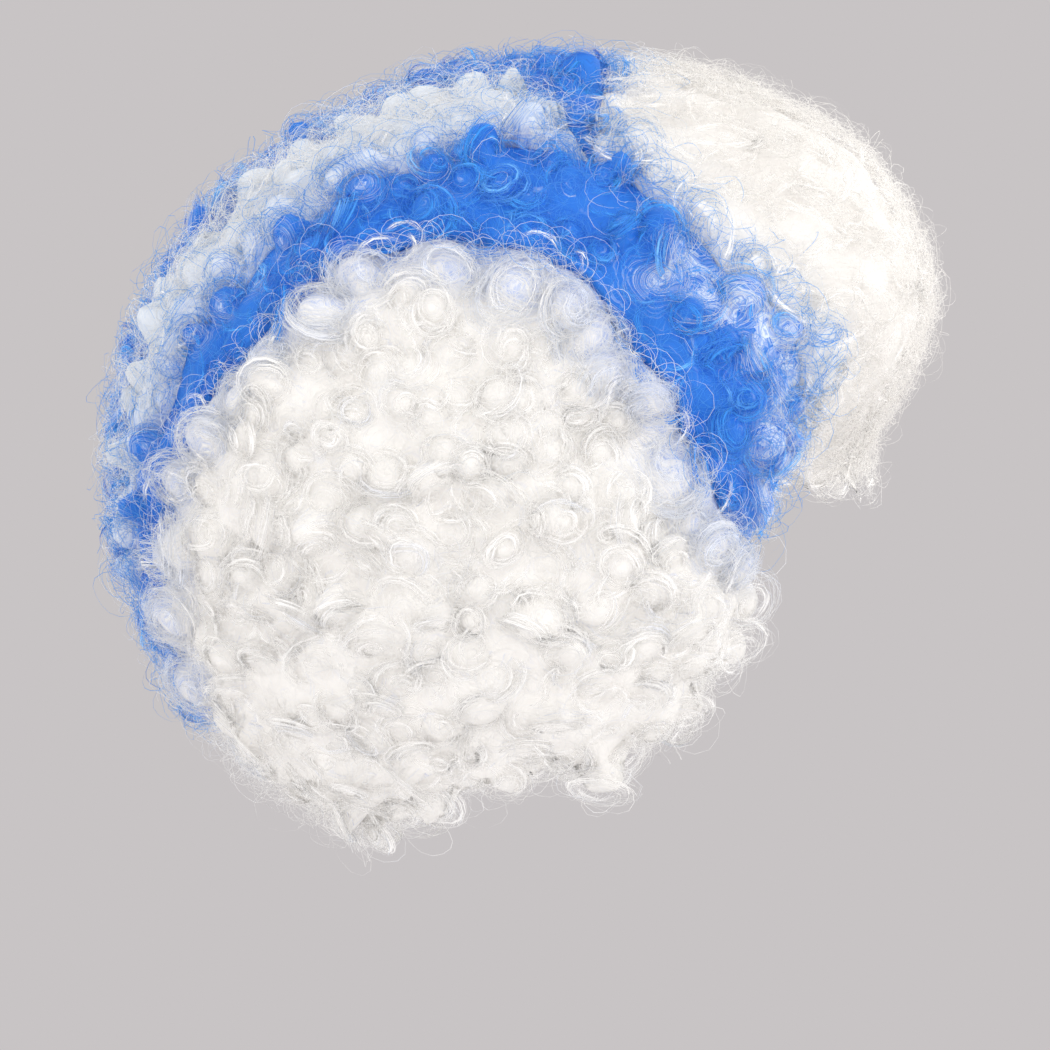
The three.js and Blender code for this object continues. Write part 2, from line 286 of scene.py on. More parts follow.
def hair_finish(dye, kind):
    finish = bpy.data.materials.new(f"{dye}_{kind}")
    finish.use_nodes = True
    nodes, links = finish.node_tree.nodes, finish.node_tree.links
    shader = nodes["Principled BSDF"]
    shader.inputs["Specular IOR Level"].default_value = HAIR_SPECULAR
    tint = nodes.new("ShaderNodeGroup")
    tint.node_tree = FIBRE_TINT
    tones = TONES[dye][kind]
    for socket, tone in zip(("Deep", "Middle", "Light"), tones):
        tint.inputs[socket].default_value = (*tone, 1)
    bump = nodes.new("ShaderNodeBump")
    bump.inputs["Strength"].default_value = HAIR_BUMP
    bump.inputs["Distance"].default_value = RELIEF[kind]
    links.new(tint.outputs["Height"], bump.inputs["Height"])
    links.new(tint.outputs["Colour"], shader.inputs["Base Color"])
    links.new(tint.outputs["Roughness"], shader.inputs["Roughness"])
    links.new(bump.outputs["Normal"], shader.inputs["Normal"])
    if kind == "lock":
        links.new(tint.outputs["Cover"], shader.inputs["Alpha"])
    if kind == "single":
        glow = nodes.new("ShaderNodeBsdfTranslucent")
        glow.inputs["Color"].default_value = (*tones[1], 1)
        mix = nodes.new("ShaderNodeMixShader")
        mix.inputs[0].default_value = TRANSLUCENCE
        links.new(shader.outputs[0], mix.inputs[1])
        links.new(glow.outputs[0], mix.inputs[2])
        links.new(mix.outputs[0], nodes["Material Output"].inputs["Surface"])
    return finish


FINISHES = {(dye, kind): hair_finish(dye, kind) for dye in TONES for kind in TONES[dye]}
print("finishes:", [finish.name for finish in FINISHES.values()])

# %% [markdown]
# ## Cap
# The cap is a stretch net that shows only from below. Its solid has the right shape, so it stays and
# takes a better finish: fine threads between small cells, and rows of stitching where the
# wefts of hair are sewn on.

# %% Finish the net
NET_CELL = 2.4 * MM
NET_UNEVENNESS = 0.35
NET_ROUGHNESS = 0.75
NET_SPECULAR = 0.25
NET_BUMP = 0.8
NET_RELIEF = 0.4 * MM
THREAD_EDGE = (0.06, 0.22)
THREAD_TONE = (0.80, 0.79, 0.78, 1)
GAP_TONE = (0.42, 0.41, 0.42, 1)
WEFT_PITCH = 11 * MM
WEFT_WAVINESS = 0.6
WEFT_EDGE = (0.80, 0.95)
BAND_AT_SCALE_ONE = math.pi / 10


def net_finish():
    finish = bpy.data.materials.new("net")
    finish.use_nodes = True
    nodes, links = finish.node_tree.nodes, finish.node_tree.links
    shader = nodes["Principled BSDF"]
    shader.inputs["Roughness"].default_value = NET_ROUGHNESS
    shader.inputs["Specular IOR Level"].default_value = NET_SPECULAR
    place_in_part = nodes.new("ShaderNodeTexCoord")
    cells = nodes.new("ShaderNodeTexVoronoi")
    cells.feature = "DISTANCE_TO_EDGE"
    cells.inputs["Scale"].default_value = 1 / NET_CELL
    cells.inputs["Randomness"].default_value = NET_UNEVENNESS
    thread = nodes.new("ShaderNodeMapRange")
    thread.inputs["From Min"].default_value = THREAD_EDGE[0]
    thread.inputs["From Max"].default_value = THREAD_EDGE[1]
    thread.inputs["To Min"].default_value = 1.0
    thread.inputs["To Max"].default_value = 0.0
    wefts = nodes.new("ShaderNodeTexWave")
    wefts.bands_direction = "Z"
    wefts.inputs["Scale"].default_value = BAND_AT_SCALE_ONE / WEFT_PITCH
    wefts.inputs["Distortion"].default_value = WEFT_WAVINESS
    row = nodes.new("ShaderNodeMapRange")
    row.inputs["From Min"].default_value = WEFT_EDGE[0]
    row.inputs["From Max"].default_value = WEFT_EDGE[1]
    cover = nodes.new("ShaderNodeMath")
    cover.operation = "MAXIMUM"
    colour = nodes.new("ShaderNodeMix")
    colour.data_type = "RGBA"
    colour.inputs["A"].default_value = GAP_TONE
    colour.inputs["B"].default_value = THREAD_TONE
    bump = nodes.new("ShaderNodeBump")
    bump.inputs["Strength"].default_value = NET_BUMP
    bump.inputs["Distance"].default_value = NET_RELIEF
    links.new(place_in_part.outputs["Object"], cells.inputs["Vector"])
    links.new(place_in_part.outputs["Object"], wefts.inputs["Vector"])
    links.new(cells.outputs["Distance"], thread.inputs["Value"])
    links.new(wefts.outputs["Fac"], row.inputs["Value"])
    links.new(thread.outputs["Result"], cover.inputs[0])
    links.new(row.outputs["Result"], cover.inputs[1])
    links.new(cover.outputs[0], colour.inputs["Factor"])
    links.new(cover.outputs[0], bump.inputs["Height"])
    links.new(colour.outputs["Result"], shader.inputs["Base Color"])
    links.new(bump.outputs["Normal"], shader.inputs["Normal"])
    return finish


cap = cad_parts["cap"]
cap.material_slots[0].material = net_finish()
print("cap finish:", cap.material_slots[0].material.name)

# %% [markdown]
# ## The form under the curls
# The curls have to sit on the panels as modelled. For every direction, a ray from outside towards a
# hub in the middle of the wig tells which panel it meets and how far out, and a ray from the hub tells
# where the hair begins. Three maps over the whole ball hold the answers, so that later steps can look
# up thousands of directions at once, which is quicker than a ray for each.

# %% Map the panels
HUB = np.array((0, 0, -105.0)) * MM
OUTSIDE = 300 * MM
CLOCK_CELLS, LEAN_CELLS = 480, 240
PANELS = [name for name in sorted(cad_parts) if name != "cap"]
OPEN = -1


def unit(vectors):
    return vectors / np.linalg.norm(vectors, axis=-1, keepdims=True)


def panel_tree():
    """All panels in one search tree, with the panel that each face belongs to."""
    points, faces, owner = [], [], []
    for number, name in enumerate(PANELS):
        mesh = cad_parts[name].data
        start = len(points)
        points += [v.co.copy() for v in mesh.vertices]
        faces += [[start + i for i in p.vertices] for p in mesh.polygons]
        owner += [number] * len(mesh.polygons)
    return BVHTree.FromPolygons(points, faces), owner


def map_directions():
    clock = (np.arange(CLOCK_CELLS) + 0.5) / CLOCK_CELLS * 2 * math.pi
    lean = ((np.arange(LEAN_CELLS) + 0.5) / LEAN_CELLS - 0.5) * math.pi
    clock, lean = np.meshgrid(clock, lean, indexing="ij")
    return np.stack([np.sin(lean), -np.cos(lean) * np.cos(clock), np.cos(lean) * np.sin(clock)], axis=-1)


tree, owner = panel_tree()
ways = map_directions()
outer = np.full(ways.shape[:2], np.nan)
inner = np.full(ways.shape[:2], np.nan)
panel_map = np.full(ways.shape[:2], OPEN)
for cell in np.ndindex(outer.shape):
    way = Vector(ways[cell])
    _, _, face, distance = tree.ray_cast(Vector(HUB) + way * OUTSIDE, -way, OUTSIDE)
    if face is not None:
        outer[cell] = OUTSIDE - distance
        panel_map[cell] = owner[face]
        inner[cell] = tree.ray_cast(Vector(HUB), way)[3]
share = (panel_map != OPEN).mean()
print(f"{len(PANELS)} panels, {share:.0%} of all directions carry hair")

# %% [markdown]
# A strand at the rim of a panel reaches a little past it, so the maps are filled outwards from their
# edges. The dressed surface is smoother than the solids: each direction takes part of the height of
# its neighbourhood, which fills the valleys between the solid locks with hair.

# %% Fill and smooth the maps
FILL_STEPS = 14
OWN_SHARE = 0.45
NEIGHBOUR_RINGS = (0.07, 0.14)
NEIGHBOURS_IN_RING = 8
FLUFF_OVER_MEAN = 4 * MM
LEAST_HAIR = 6 * MM


def filled(values):
    values = values.copy()
    for _ in range(FILL_STEPS):
        empty = np.isnan(values)
        steps = [(i, j) for i in (-1, 0, 1) for j in (-1, 0, 1)]
        near = np.stack([np.roll(values, step, axis=(0, 1)) for step in steps])
        known = ~np.isnan(near)
        total = np.where(known, near, 0).sum(0)
        count = known.sum(0)
        values[empty & (count > 0)] = (total / np.maximum(count, 1))[empty & (count > 0)]
    return np.where(np.isnan(values), np.nanmean(values), values)


def cells(d):
    """Place of directions in the maps, in cells."""
    clock = np.mod(np.arctan2(d[..., 2], -d[..., 1]), 2 * math.pi)
    lean = np.arcsin(np.clip(d[..., 0], -1, 1))
    return clock / (2 * math.pi) * CLOCK_CELLS - 0.5, (lean / math.pi + 0.5) * LEAN_CELLS - 0.5


def look_up(values, d):
    """Value of a map at directions, blended between cells."""
    x, y = cells(d)
    y = np.clip(y, 0, LEAN_CELLS - 1.001)
    i, j = np.floor(x).astype(int), np.floor(y).astype(int)
    fx, fy = x - i, y - j
    i, k = i % CLOCK_CELLS, (i + 1) % CLOCK_CELLS
    low = values[i, j] * (1 - fx) + values[k, j] * fx
    high = values[i, j + 1] * (1 - fx) + values[k, j + 1] * fx
    return low * (1 - fy) + high * fy


def panel_at(d):
    x, y = cells(d)
    i = np.rint(x).astype(int) % CLOCK_CELLS
    j = np.clip(np.rint(y), 0, LEAN_CELLS - 1).astype(int)
    return panel_map[i, j]


def tangents(d):
    """Two unit vectors across each direction: one level, one up."""
    level = unit(np.cross((0, 0, 1.0), d) + 1e-9)
    return level, np.cross(d, level)


def neighbours(d, spread):
    level, up = tangents(d)
    for angle in np.arange(NEIGHBOURS_IN_RING) / NEIGHBOURS_IN_RING * 2 * math.pi:
        yield unit(d + spread * (math.cos(angle) * level + math.sin(angle) * up))


outer = filled(outer)
inner = filled(inner)
around = [look_up(outer, near) for spread in NEIGHBOUR_RINGS for near in neighbours(ways, spread)]
form = OWN_SHARE * outer + (1 - OWN_SHARE) * (np.mean(around, axis=0) + FLUFF_OVER_MEAN)
form = np.maximum(form, inner + LEAST_HAIR)
print(f"reach of the curls from {form.min() / MM:.0f} to {form.max() / MM:.0f} mm")

# %% [markdown]
# Every later step asks the same things of the dressed surface: where it lies along a direction, which
# way it faces there and which panel it belongs to. Strands are spread by area. The surface is a map
# without faces that could be added up, so random probes measure the area of each panel.

# %% Look up the dressed surface
NORMAL_STEP = 0.05
TRIES_PER_WAY = 4
PROBES = 200_000


def surface(d, lift=0.0):
    """Points of the dressed surface along directions, raised by a lift."""
    return HUB + d * (look_up(form, d) + lift)[..., None]


def surface_normal(d):
    level, up = tangents(d)
    a = surface(unit(d + NORMAL_STEP * level)) - surface(unit(d - NORMAL_STEP * level))
    b = surface(unit(d + NORMAL_STEP * up)) - surface(unit(d - NORMAL_STEP * up))
    return unit(np.cross(a, b))


def random_ways(count):
    return unit(rng.normal(size=(count, 3)))


def ways_on(numbers, count):
    """Random directions that meet the given panels, evenly spread over the ball."""
    found = np.empty((0, 3))
    while len(found) < count:
        tries = random_ways(TRIES_PER_WAY * count)
        found = np.concatenate([found, tries[np.isin(panel_at(tries), numbers)]])
    return found[:count]


probe = random_ways(PROBES)
probe_panel = panel_at(probe)
areas = {}
for number, name in enumerate(PANELS):
    reach = look_up(form, probe[probe_panel == number])
    areas[name] = 4 * math.pi * (reach**2).sum() / len(probe)
    print(f"{name}: {areas[name] * 1e6:.0f} mm2")

# %% [markdown]
# ## Strands as ribbons
# A strand is drawn as a ribbon two vertices wide. Real hair is round, so the normals of the two
# edges lean outwards, and the light rolls over the ribbon as over a fibre. Batches of strands
# share one shape of array, which makes hundreds of thousands of faces quick to build.

# %% Turn paths into ribbons
EDGE_LEAN = 0.35
END_THINNING = 0.6
HAIR_LANE_SHARE = 0.12
TONE_SPREAD = 0.18
PALEST = 0.999
END_ROOM = 0.002


def ribbons(batch, chosen):
    """Vertices, normals, faces and map of the chosen strands of a batch."""
    points = batch["points"][chosen]
    facing = batch["facing"][chosen]
    count, steps = points.shape[:2]
    along = unit(np.gradient(points, axis=1))
    side = unit(np.cross(along, facing))
    outward = np.cross(side, along)
    tilt = batch["tilt"][chosen][:, None, None]
    side = side * np.cos(tilt) + outward * np.sin(tilt)
    t = np.linspace(0, 1, steps)
    taper = 1 - batch["thinning"] * np.abs(2 * t - 1) ** 3
    half = 0.5 * batch["width"][chosen][:, None, None] * taper[None, :, None]
    vertices = np.stack([points - side * half, points + side * half], axis=2)
    normals = np.stack([facing - EDGE_LEAN * side, facing + EDGE_LEAN * side], axis=2)
    first = np.arange(count)[:, None] * steps * 2 + np.arange(steps - 1)[None, :] * 2
    faces = np.stack([first, first + 1, first + 3, first + 2], axis=-1)
    left = batch["lane"][chosen] / LANES
    right = left + batch["lane_share"] / LANES
    across = np.stack([left, right, right, left], axis=-1)[:, None, :].repeat(steps - 1, axis=1)
    ends = np.stack([t[:-1], t[:-1], t[1:], t[1:]], axis=-1)[None].repeat(count, axis=0)
    uv = np.stack([across, np.clip(ends, END_ROOM, 1 - END_ROOM)], axis=-1)
    return {
        "vertices": vertices.reshape(-1, 3),
        "normals": unit(normals).reshape(-1, 3),
        "faces": faces.reshape(-1, 4),
        "uv": uv.reshape(-1, 2),
    }


def build_piece(name, parts, finish):
    """One mesh object from joined parts of quads."""
    vertices = np.concatenate([p["vertices"] for p in parts]).astype(np.float32)
    normals = np.concatenate([p["normals"] for p in parts]).astype(np.float32)
    starts = np.cumsum([0] + [len(p["vertices"]) for p in parts[:-1]])
    faces = np.concatenate([p["faces"] + start for p, start in zip(parts, starts)])
    uv = np.concatenate([p["uv"] for p in parts]).astype(np.float32)
    mesh = bpy.data.meshes.new(name)
    mesh.vertices.add(len(vertices))
    mesh.vertices.foreach_set("co", vertices.ravel())
    mesh.loops.add(faces.size)
    mesh.loops.foreach_set("vertex_index", faces.ravel().astype(np.int32))
    mesh.polygons.add(len(faces))
    mesh.polygons.foreach_set("loop_start", np.arange(0, faces.size, 4, dtype=np.int32))
    mesh.update(calc_edges=True)
    mesh.uv_layers.new(name="OFBake").uv.foreach_set("vector", uv.ravel())
    mesh.polygons.foreach_set("use_smooth", np.ones(len(faces), dtype=bool))
    mesh.normals_split_custom_set_from_vertices(normals)
    mesh.materials.append(finish)
    piece = bpy.data.objects.new(name, mesh)
    scene.collection.objects.link(piece)
    return piece


def dress(points, facing, width, tilt, kind, panel, paleness):
    """A batch of strands of one kind: single hairs, or locks that fill a whole lane."""
    count = len(points)
    share = LANE_FILL if kind == "lock" else HAIR_LANE_SHARE
    tone = np.clip(paleness + rng.normal(0, TONE_SPREAD, count), 0, PALEST)
    return {
        "points": points,
        "facing": facing,
        "width": rng.uniform(*width, count) * MM,
        "tilt": np.radians(rng.normal(0, tilt, count)),
        "thinning": END_THINNING,
        "lane": np.floor(tone * LANES) + rng.uniform(0, LANE_FILL - share, count),
        "lane_share": share,
        "panel": panel,
        "kind": kind,
    }


# %% [markdown]
# ## Ringlets
# Most of the hair is set in ringlets, fat corkscrews that look like soft domes from outside. A
# regular grid would show as rows, so their places are found by throwing darts: a ringlet is kept if
# it doesn't crowd those that are there already. At the seam with the blue band the white ringlets
# are larger and stand proud of the blue. The front is brushed out, so its ringlets have become wide,
# flat tufts.

# %% Throw the ringlets
DARTS = 30_000
RINGLET_RADIUS = (7.0 * MM, 12.0 * MM)
RINGLET_CROWDING = 0.66
SEAM_REACH = 0.13
SEAM_MARGIN = 0.085
RING_REACH = 0.085
SEAM_GROWTH = 1.2
TUFT_GROWTH = 1.7
WHITE_SIDES = [PANELS.index(name) for name in ("right_side_white", "left_side_white")]
BLUE_BANDS = [PANELS.index(name) for name in ("right_blue_band", "left_blue_band")]
INNER_WHITES = [PANELS.index(name) for name in ("right_inner_white", "left_inner_white")]
CROWN = PANELS.index("crown_blue")
FRONT = PANELS.index("front_white")
SOME_SHARE = 0.1


def share_near(d, numbers, spread):
    """Share of the neighbourhood of each direction that lies on the given panels."""
    return np.mean([np.isin(panel_at(near), numbers) for near in neighbours(d, spread)], axis=0)


def is_near(d, numbers, spread):
    return share_near(d, numbers, spread) > SOME_SHARE


def throw_ringlets():
    darts = random_ways(DARTS)
    darts = darts[panel_at(darts) != OPEN]
    overhangs = np.isin(panel_at(darts), WHITE_SIDES) & (share_near(darts, BLUE_BANDS, SEAM_MARGIN) > 0)
    darts = darts[~overhangs]
    radius = rng.uniform(*RINGLET_RADIUS, len(darts))
    at_seam = np.isin(panel_at(darts), WHITE_SIDES) & is_near(darts, BLUE_BANDS, SEAM_REACH)
    radius[at_seam] *= SEAM_GROWTH
    brushed = (panel_at(darts) == FRONT) & ~is_near(darts, BLUE_BANDS, RING_REACH)
    radius[brushed] *= TUFT_GROWTH
    order = np.argsort(~at_seam, kind="stable")
    darts, radius, at_seam, brushed = darts[order], radius[order], at_seam[order], brushed[order]
    spots = surface(darts)
    kept = []
    for i, spot in enumerate(spots):
        gaps = np.linalg.norm(spots[kept] - spot, axis=1)
        if not len(kept) or np.all(gaps > RINGLET_CROWDING * (radius[kept] + radius[i])):
            kept.append(i)
    return darts[kept], radius[kept], at_seam[kept], brushed[kept]


ringlet_way, ringlet_radius, ringlet_seam, is_tuft = throw_ringlets()
ringlet_panel = panel_at(ringlet_way)
print(len(ringlet_way), "ringlets,", int(ringlet_seam.sum()), "of them at the seam")

# %% [markdown]
# Each ringlet is a dome about an axis that points outwards, wanders and droops a little. Low on the
# sides the hair is calmer, so the domes there are flatter and lie deeper. The blue next to the white
# lobes lies deep and its tones are painted deeper as painted shade, and the blue next to the other
# whites is airy. The white lobes at that seam get deeper, bluer tones as painted shade too. All of
# this is worked out once, for every ringlet, so that the strands and the dense hair below them agree.

# %% Set up the ringlets
AXIS_WANDER = 0.65
AXIS_DROOP = 0.15
HEIGHT_SHARE = (0.6, 0.95)
OVALNESS = (1.0, 1.35)
PITCH_DEGREES = (14, 32)
SINK = (-3.0 * MM, 1.0 * MM)
SEAM_LIFT = 2.0 * MM
SHADE_REACH = 0.075
AIRY_REACH = 0.17
AIRY_TOP = -35 * MM
SEAM_SHADE = -5.0 * MM
CALM_FROM, CALM_TO = -165 * MM, -205 * MM
CALM_SINK = -2.5 * MM
CALM_FLATNESS = 0.45
TUFT_FLATNESS = 0.6
TUFT_SINK = -4.0 * MM
USUAL_PALENESS = 0.58
PALER_WHEN_AIRY = 0.27
PALER_BY_FRONT = 0.30
PALER_AT_BACK = 0.25
PALER_TUFTS = 0.20
PAINTED_SHADE_AT_SEAM = 0.58
PALER_SEAM_HAIRS = 0.12
DEEPER_BY_BAND = 0.35
BAND_REACH = 0.10
BACK_FROM = 40 * MM

count = len(ringlet_way)
ringlet_spot = surface(ringlet_way)
calm = np.clip((CALM_FROM - ringlet_spot[:, 2]) / (CALM_FROM - CALM_TO), 0, 1)
calm *= np.isin(ringlet_panel, WHITE_SIDES)
is_band = np.isin(ringlet_panel, BLUE_BANDS)
shaded = is_band & is_near(ringlet_way, WHITE_SIDES, SHADE_REACH)
by_front = is_band & is_near(ringlet_way, [FRONT, OPEN], AIRY_REACH)
by_front = by_front & (ringlet_spot[:, 1] < 0) & (ringlet_spot[:, 2] < AIRY_TOP)
airy = by_front | is_band & is_near(ringlet_way, INNER_WHITES, SHADE_REACH)
by_band = np.isin(ringlet_panel, INNER_WHITES) & is_near(ringlet_way, BLUE_BANDS, BAND_REACH)
at_back = (ringlet_panel == CROWN) & (ringlet_spot[:, 1] > BACK_FROM)
# painted shade: blue ringlets beside the white lobes get deeper tones, airy ones paler
paleness = USUAL_PALENESS + PALER_WHEN_AIRY * (1.0 * airy - shaded) + PALER_BY_FRONT * by_front
# painted shade: white ringlets at the seam with the blue band get deeper, bluer tones
paleness += PALER_AT_BACK * at_back - PAINTED_SHADE_AT_SEAM * ringlet_seam - DEEPER_BY_BAND * by_band
paleness += PALER_TUFTS * is_tuft
lift = rng.uniform(*SINK, count) + SEAM_LIFT * ringlet_seam + SEAM_SHADE * shaded
lift += CALM_SINK * calm + TUFT_SINK * is_tuft
normal = surface_normal(ringlet_way)
axis = normal + (AXIS_WANDER * ~is_tuft)[:, None] * rng.uniform(-1, 1, normal.shape)
axis[:, 2] -= AXIS_DROOP * ~is_tuft
axis = unit(axis)
cross = unit(np.cross(axis, unit(rng.normal(size=axis.shape))))
flatness = CALM_FLATNESS * calm + TUFT_FLATNESS * is_tuft
height = ringlet_radius * rng.uniform(*HEIGHT_SHARE, count) * (1 - flatness)
RINGLETS = {
    "middle": surface(ringlet_way, lift) - axis * height[:, None],
    "axis": axis,
    "normal": normal,
    "cross": cross * rng.uniform(*OVALNESS, count)[:, None],
    "other": np.cross(axis, cross),
    "radius": ringlet_radius,
    "height": height,
    "pitch": np.radians(rng.uniform(*PITCH_DEGREES, count)),
    "sense": rng.choice([-1.0, 1.0], count),
    "airy": airy,
    "by_front": by_front,
    "by_band": by_band,
    "at_back": at_back,
    "at_seam": ringlet_seam,
    "paleness": paleness,
    "panel": ringlet_panel,
}
print(int(shaded.sum()), "blue ringlets lie deep,", int(airy.sum()), "are airy")

# %% [markdown]
# All strands of a ringlet wind the same way and climb with the same pitch. Wide see-through locks give
# the ringlet its body, and single hairs lie over them and stray the most. The front and the inner
# white strips do without wound locks. Near a soft seam some hairs take the colour of the panel next
# door, as where two dyed wefts were sewn side by side.

# %% Wind the ringlet strands
WIND_STEPS = {"lock": 15, "single": 12}
LOCKS = {"per_ringlet": 3, "width": (3.6, 5.2), "swell": (0.86, 1.00), "loose": 0.12, "tilt": 8,
         "airy_share": 0.4}
HAIRS = {"per_ringlet": 20, "width": (0.13, 0.22), "swell": (0.84, 1.12), "loose": 0.28, "tilt": 30,
         "airy_share": 1.0}
LOWEST, HIGHEST = math.radians(95), math.radians(4)
TURNS = (0.75, 1.25)
WAVES = (1, 2.5)
WAVE_SHARE = 0.5
SIZE_DRIFT = 0.06
TIP_OPENING = {"lock": 0.40, "single": 0.10}
NORMAL_SHARE = 0.65
DRIFT = 1.8 * MM
STRAY_BLUE = 0.20
BLUE_BY_BAND = 0.42
WHITE_AT_BACK = 0.48
RINGS_OVER_FRONT = 0.50
WHITE_AMONG_RINGS = 0.58
SEAM_FULLNESS = 3
SEAM_MIX = 0.08


def mixed(d, panel, kind):
    """Panels of strands, where a hair near a soft seam may belong to the panel next door."""
    if kind == "lock":
        return panel
    beside = panel_at(unit(d + SEAM_MIX * rng.normal(size=d.shape)))
    firm = (beside == OPEN) | np.isin(panel, WHITE_SIDES) | np.isin(beside, WHITE_SIDES)
    return np.where(firm, panel, beside)


def wind(kind, per_ringlet, width, swell, loose, tilt, airy_share):
    """A batch of strands wound round the ringlets, with widths in mm and tilt in degrees."""
    wound = ~is_tuft
    if kind == "lock":
        wound = wound & ~np.isin(ringlet_panel, INNER_WHITES + [FRONT])
    fullness = np.where(ringlet_seam & (kind == "single"), SEAM_FULLNESS, 1)
    index = np.repeat(np.arange(len(wound)), per_ringlet * fullness * wound)
    index = index[~RINGLETS["airy"][index] | (rng.random(len(index)) < airy_share)]
    count = len(index)
    r = {key: value[index] for key, value in RINGLETS.items()}

    def strand(low, high):
        return rng.uniform(low, high, count)[:, None]

    t = np.linspace(-0.5, 0.5, WIND_STEPS[kind])[None, :]
    turn = strand(0, 2 * math.pi) + 2 * math.pi * strand(*TURNS) * t
    polar = np.arccos(strand(math.cos(LOWEST), math.cos(HIGHEST)))
    polar = polar - r["pitch"][:, None] * (turn / (2 * math.pi) - 0.5)
    polar = polar + rng.normal(0, loose, count)[:, None] * np.sin(turn + strand(0, 2 * math.pi))
    wave = np.sin(2 * math.pi * strand(*WAVES) * t + strand(0, 2 * math.pi))
    polar = np.maximum(polar + WAVE_SHARE * loose * wave, TIP_OPENING[kind])
    size = strand(*swell) * (1 + rng.normal(0, SIZE_DRIFT, count)[:, None] * t)
    turn = turn * r["sense"][:, None]
    out = np.cos(turn)[..., None] * r["cross"][:, None] + np.sin(turn)[..., None] * r["other"][:, None]
    ring = size * r["radius"][:, None] * np.sin(polar)
    rise = size * r["height"][:, None] * np.cos(polar)
    axis = r["axis"][:, None]
    bulge = np.sin(polar)[..., None] * out + np.cos(polar)[..., None] * axis
    panel = mixed(ringlet_way[index], r["panel"], kind)
    paleness = r["paleness"]
    if kind == "single":
        paleness = paleness + PALER_SEAM_HAIRS * r["at_seam"]
        right = r["middle"][:, 0] < 0
        own_band, own_inner = np.where(right, *BLUE_BANDS), np.where(right, *INNER_WHITES)
        chance = rng.random(count)
        stray = np.isin(panel, INNER_WHITES) & ~r["by_band"] & (chance < STRAY_BLUE)
        panel = np.where(stray, CROWN, panel)
        panel = np.where(r["by_band"] & (chance < BLUE_BY_BAND), own_band, panel)
        panel = np.where(r["at_back"] & (chance < WHITE_AT_BACK), own_inner, panel)
        panel = np.where((r["panel"] == FRONT) & (chance < RINGS_OVER_FRONT), own_band, panel)
        panel = np.where(r["by_front"] & (chance < WHITE_AMONG_RINGS), FRONT, panel)
    middle = r["middle"] + DRIFT * (strand(-1, 1) * r["cross"] + strand(-1, 1) * r["other"])
    points = middle[:, None] + ring[..., None] * out + rise[..., None] * axis
    facing = unit((1 - NORMAL_SHARE) * bulge + NORMAL_SHARE * r["normal"][:, None])
    return dress(points, facing, width, tilt, kind, panel, paleness)


BATCHES = [wind("lock", **LOCKS), wind("single", **HAIRS)]
print("ringlet strands:", sum(len(b["lane"]) for b in BATCHES))

# %% [markdown]
# ## Fluff and loose hairs
# The front is brushed out to a soft fluff, and loose hairs cross the curls everywhere. Both are arcs
# of circles that leave the surface and dive back into it. The plane of the arc lies flat for a
# hair that crosses the curls and stands up for one that flies off.

# %% Bend loose arcs
BALL_RADIUS = 150 * MM
LEVEL_SPREAD = 0.5
RIPPLE_HEIGHT = 0.5 * MM
RIPPLES = 2
RIPPLE_START = (0, 6)
ARC_TILT = {"lock": 8, "single": 25}


def arcs(panel, kind, per_mm2, steps, radius, sweep, stand, depth, width, level=0.0, beside=None):
    """A batch of arcs on one panel, with sizes in mm, angles in degrees and the share that lies level."""
    d = ways_on([panel], int(per_mm2 * areas[PANELS[panel]] / MM**2))
    if beside:
        d = d[share_near(d, beside, SEAM_MARGIN) > 0]
    count = len(d)
    normal = surface_normal(d)
    sideways = unit(np.cross((0, 0, 1.0), normal) + 1e-6)
    upward = np.cross(normal, sideways)
    any_way = rng.uniform(-math.pi, math.pi, count)
    heading = np.where(rng.random(count) < level, rng.normal(0, LEVEL_SPREAD, count), any_way)
    heading += np.where(rng.random(count) < 0.5, math.pi, 0)
    first = np.cos(heading)[:, None] * sideways + np.sin(heading)[:, None] * upward
    flat = np.cross(normal, first) * rng.choice([-1, 1], count)[:, None]
    rise = np.radians(rng.uniform(*stand, count))[:, None]
    bend = np.sin(rise) * normal + np.cos(rise) * flat
    r = rng.uniform(*radius, count)[:, None] * MM
    span = np.radians(rng.uniform(*sweep, count))[:, None]
    t = np.linspace(-0.5, 0.5, steps)[None, :]
    start = surface(d, -rng.uniform(*depth, count) * MM)
    out = (r * np.sin(span * t))[..., None] * first[:, None]
    curve = (r * (np.cos(span * t) - np.cos(span / 2)))[..., None] * bend[:, None]
    ripple = np.sin(2 * math.pi * RIPPLES * t + rng.uniform(*RIPPLE_START, count)[:, None])
    fall = (np.linalg.norm(out + curve, axis=-1) ** 2) / (2 * BALL_RADIUS) * np.cos(rise)
    points = start[:, None] + out + curve + (RIPPLE_HEIGHT * ripple - fall)[..., None] * normal[:, None]
    facing = np.broadcast_to(normal[:, None], points.shape)
    owner = mixed(d, np.repeat(panel, count), kind)
    return dress(points, facing, width, ARC_TILT[kind], kind, owner, USUAL_PALENESS)


FLYAWAYS = {"kind": "single", "per_mm2": 0.022, "steps": 12, "radius": (3, 8), "sweep": (140, 260),
            "stand": (45, 90), "depth": (2, 6), "width": (0.12, 0.18)}
FRONT_HAIR = [
    {"kind": "lock", "per_mm2": 0.022, "steps": 7, "radius": (10, 24), "sweep": (50, 110),
     "stand": (0, 15), "depth": (1, 4), "width": (3.2, 4.8), "level": 0.8},
    {"kind": "single", "per_mm2": 0.18, "steps": 8, "radius": (4, 12), "sweep": (80, 190),
     "stand": (0, 45), "depth": (0, 2.5), "width": (0.13, 0.21), "level": 0.5},
    {**FLYAWAYS, "per_mm2": 0.034},
]
CURLY_HAIR = [
    {"kind": "lock", "per_mm2": 0.006, "steps": 8, "radius": (6, 11), "sweep": (90, 170),
     "stand": (0, 20), "depth": (2, 6), "width": (2.6, 3.8)},
    {"kind": "single", "per_mm2": 0.045, "steps": 10, "radius": (4, 10), "sweep": (150, 330),
     "stand": (0, 40), "depth": (0, 4), "width": (0.13, 0.20)},
    FLYAWAYS,
]
